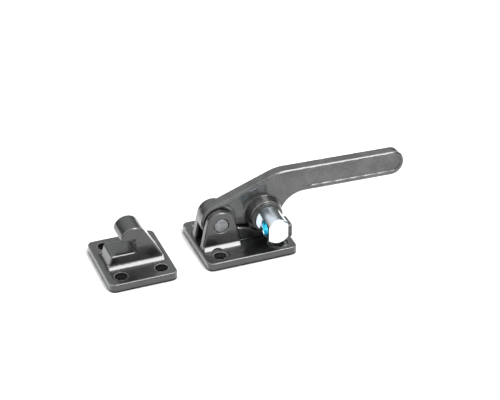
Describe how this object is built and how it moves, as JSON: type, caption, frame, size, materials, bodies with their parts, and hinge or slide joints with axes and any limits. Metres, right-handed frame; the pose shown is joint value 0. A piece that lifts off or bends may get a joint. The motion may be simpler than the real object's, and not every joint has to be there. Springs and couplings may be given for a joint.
{
  "type": "hook toggle latch",
  "caption": "Heavy forged lever latch: a cranked handle on a lugged base plate carries a drilled cross bar for a draw bolt; a hook catch on its own plate takes the pull.",
  "frame": {"origin": "centre of the base plate's mounting face, the four screw holes spaced evenly about it", "axes": "+X from the hook catch towards the grip, along the latch's pull; +Y along the pivot and the cross bar, away from the side that is drawn nearest; +Z out of the surface the latch is screwed to"},
  "size_m": [0.2206, 0.06, 0.0517],
  "materials": {
    "black_forging": "satin black oxide on forged steel",
    "pin_steel": "dark ground steel",
    "black_lever": "satin black oxide on forged steel",
    "bush_steel": "turned, oiled",
    "zinc_plate": "bright zinc plate",
    "ring_steel_near": "spring steel, plain",
    "ring_steel_far": "spring steel, plain",
    "black_catch": "satin black oxide on forged steel"
  },
  "bodies": {
    "base": {"base_bracket": "black_forging", "pivot_pin": "pin_steel"},
    "handle": {"lever": "black_lever", "pivot_bush": "bush_steel"},
    "bar": {"cross_bar": "zinc_plate", "retaining_ring_near": "ring_steel_near", "retaining_ring_far": "ring_steel_far"},
    "catch": {"hook_catch": "black_catch"}
  },
  "joints": [
    {"name": "lever_pivot", "type": "hinge", "parent": "base", "child": "handle", "pos_m": [-0.0165, 0, 0.0227], "axis": [0, -1, 0], "range_deg": [0, 130]},
    {"name": "cross_bar_turn", "type": "hinge", "parent": "handle", "child": "bar", "pos_m": [0.016, 0, 0.0232], "axis": [0, -1, 0], "continuous": true},
    {"name": "catch_gap", "type": "slide", "parent": "base", "child": "catch", "axis": [-1, 0, 0], "range_m": [0, 0.05]}
  ]
}
